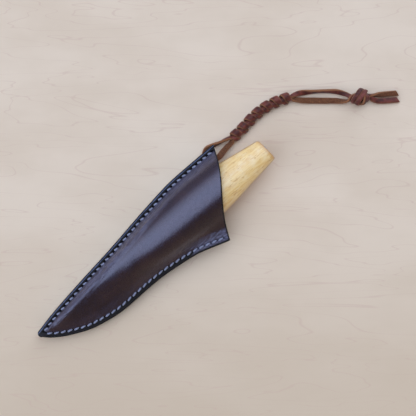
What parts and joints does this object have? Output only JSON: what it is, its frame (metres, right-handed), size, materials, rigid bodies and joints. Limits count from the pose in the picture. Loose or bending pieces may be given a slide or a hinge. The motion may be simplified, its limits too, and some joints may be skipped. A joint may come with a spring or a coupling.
{
  "type": "whittling knife in a leather sheath",
  "caption": "Short carving knife with an oval birch handle, held by friction in a stitched wet-formed leather sheath with a knotted leather lace lanyard.",
  "frame": {"origin": "on the flat band of the sheath's back, under the knife's axis, near the middle of the sheathed knife's length", "axes": "+X along the knife from the sheath's tip to the butt, +Y towards the back of the blade, +Z out of the sheath's front"},
  "size_m": [0.2598, 0.0529, 0.0261],
  "materials": {
    "sheath_leather": "dark brown, waxed and burnished, satin to glossy",
    "sheath_edge": "blackened and burnished leather edge",
    "thread": "waxed braided thread",
    "lace": "reddish brown lace, smooth on one side and suede on the other",
    "birch": "oiled birch, satin",
    "steel": "ground carbon steel with polished bevels"
  },
  "bodies": {
    "sheath": {"front_panel": "sheath_leather", "back_panel": "sheath_leather", "edge_welt": "sheath_edge", "spine_welt": "sheath_edge", "edge_seam_thread": "thread", "spine_seam_thread": "thread", "lace_leg_outer": "lace", "lace_leg_inner": "lace", "lace_braid": "lace", "lace_strand_upper": "lace", "lace_strand_lower": "lace", "lace_end_knot": "lace", "lace_tail_upper": "lace", "lace_tail_lower": "lace"},
    "knife": {"handle": "birch", "blade": "steel"}
  },
  "joints": [
    {"name": "knife_draw", "type": "slide", "parent": "sheath", "child": "knife", "axis": [0.9969, 0.0104, 0.0785], "range_m": [0, 0.15]}
  ]
}
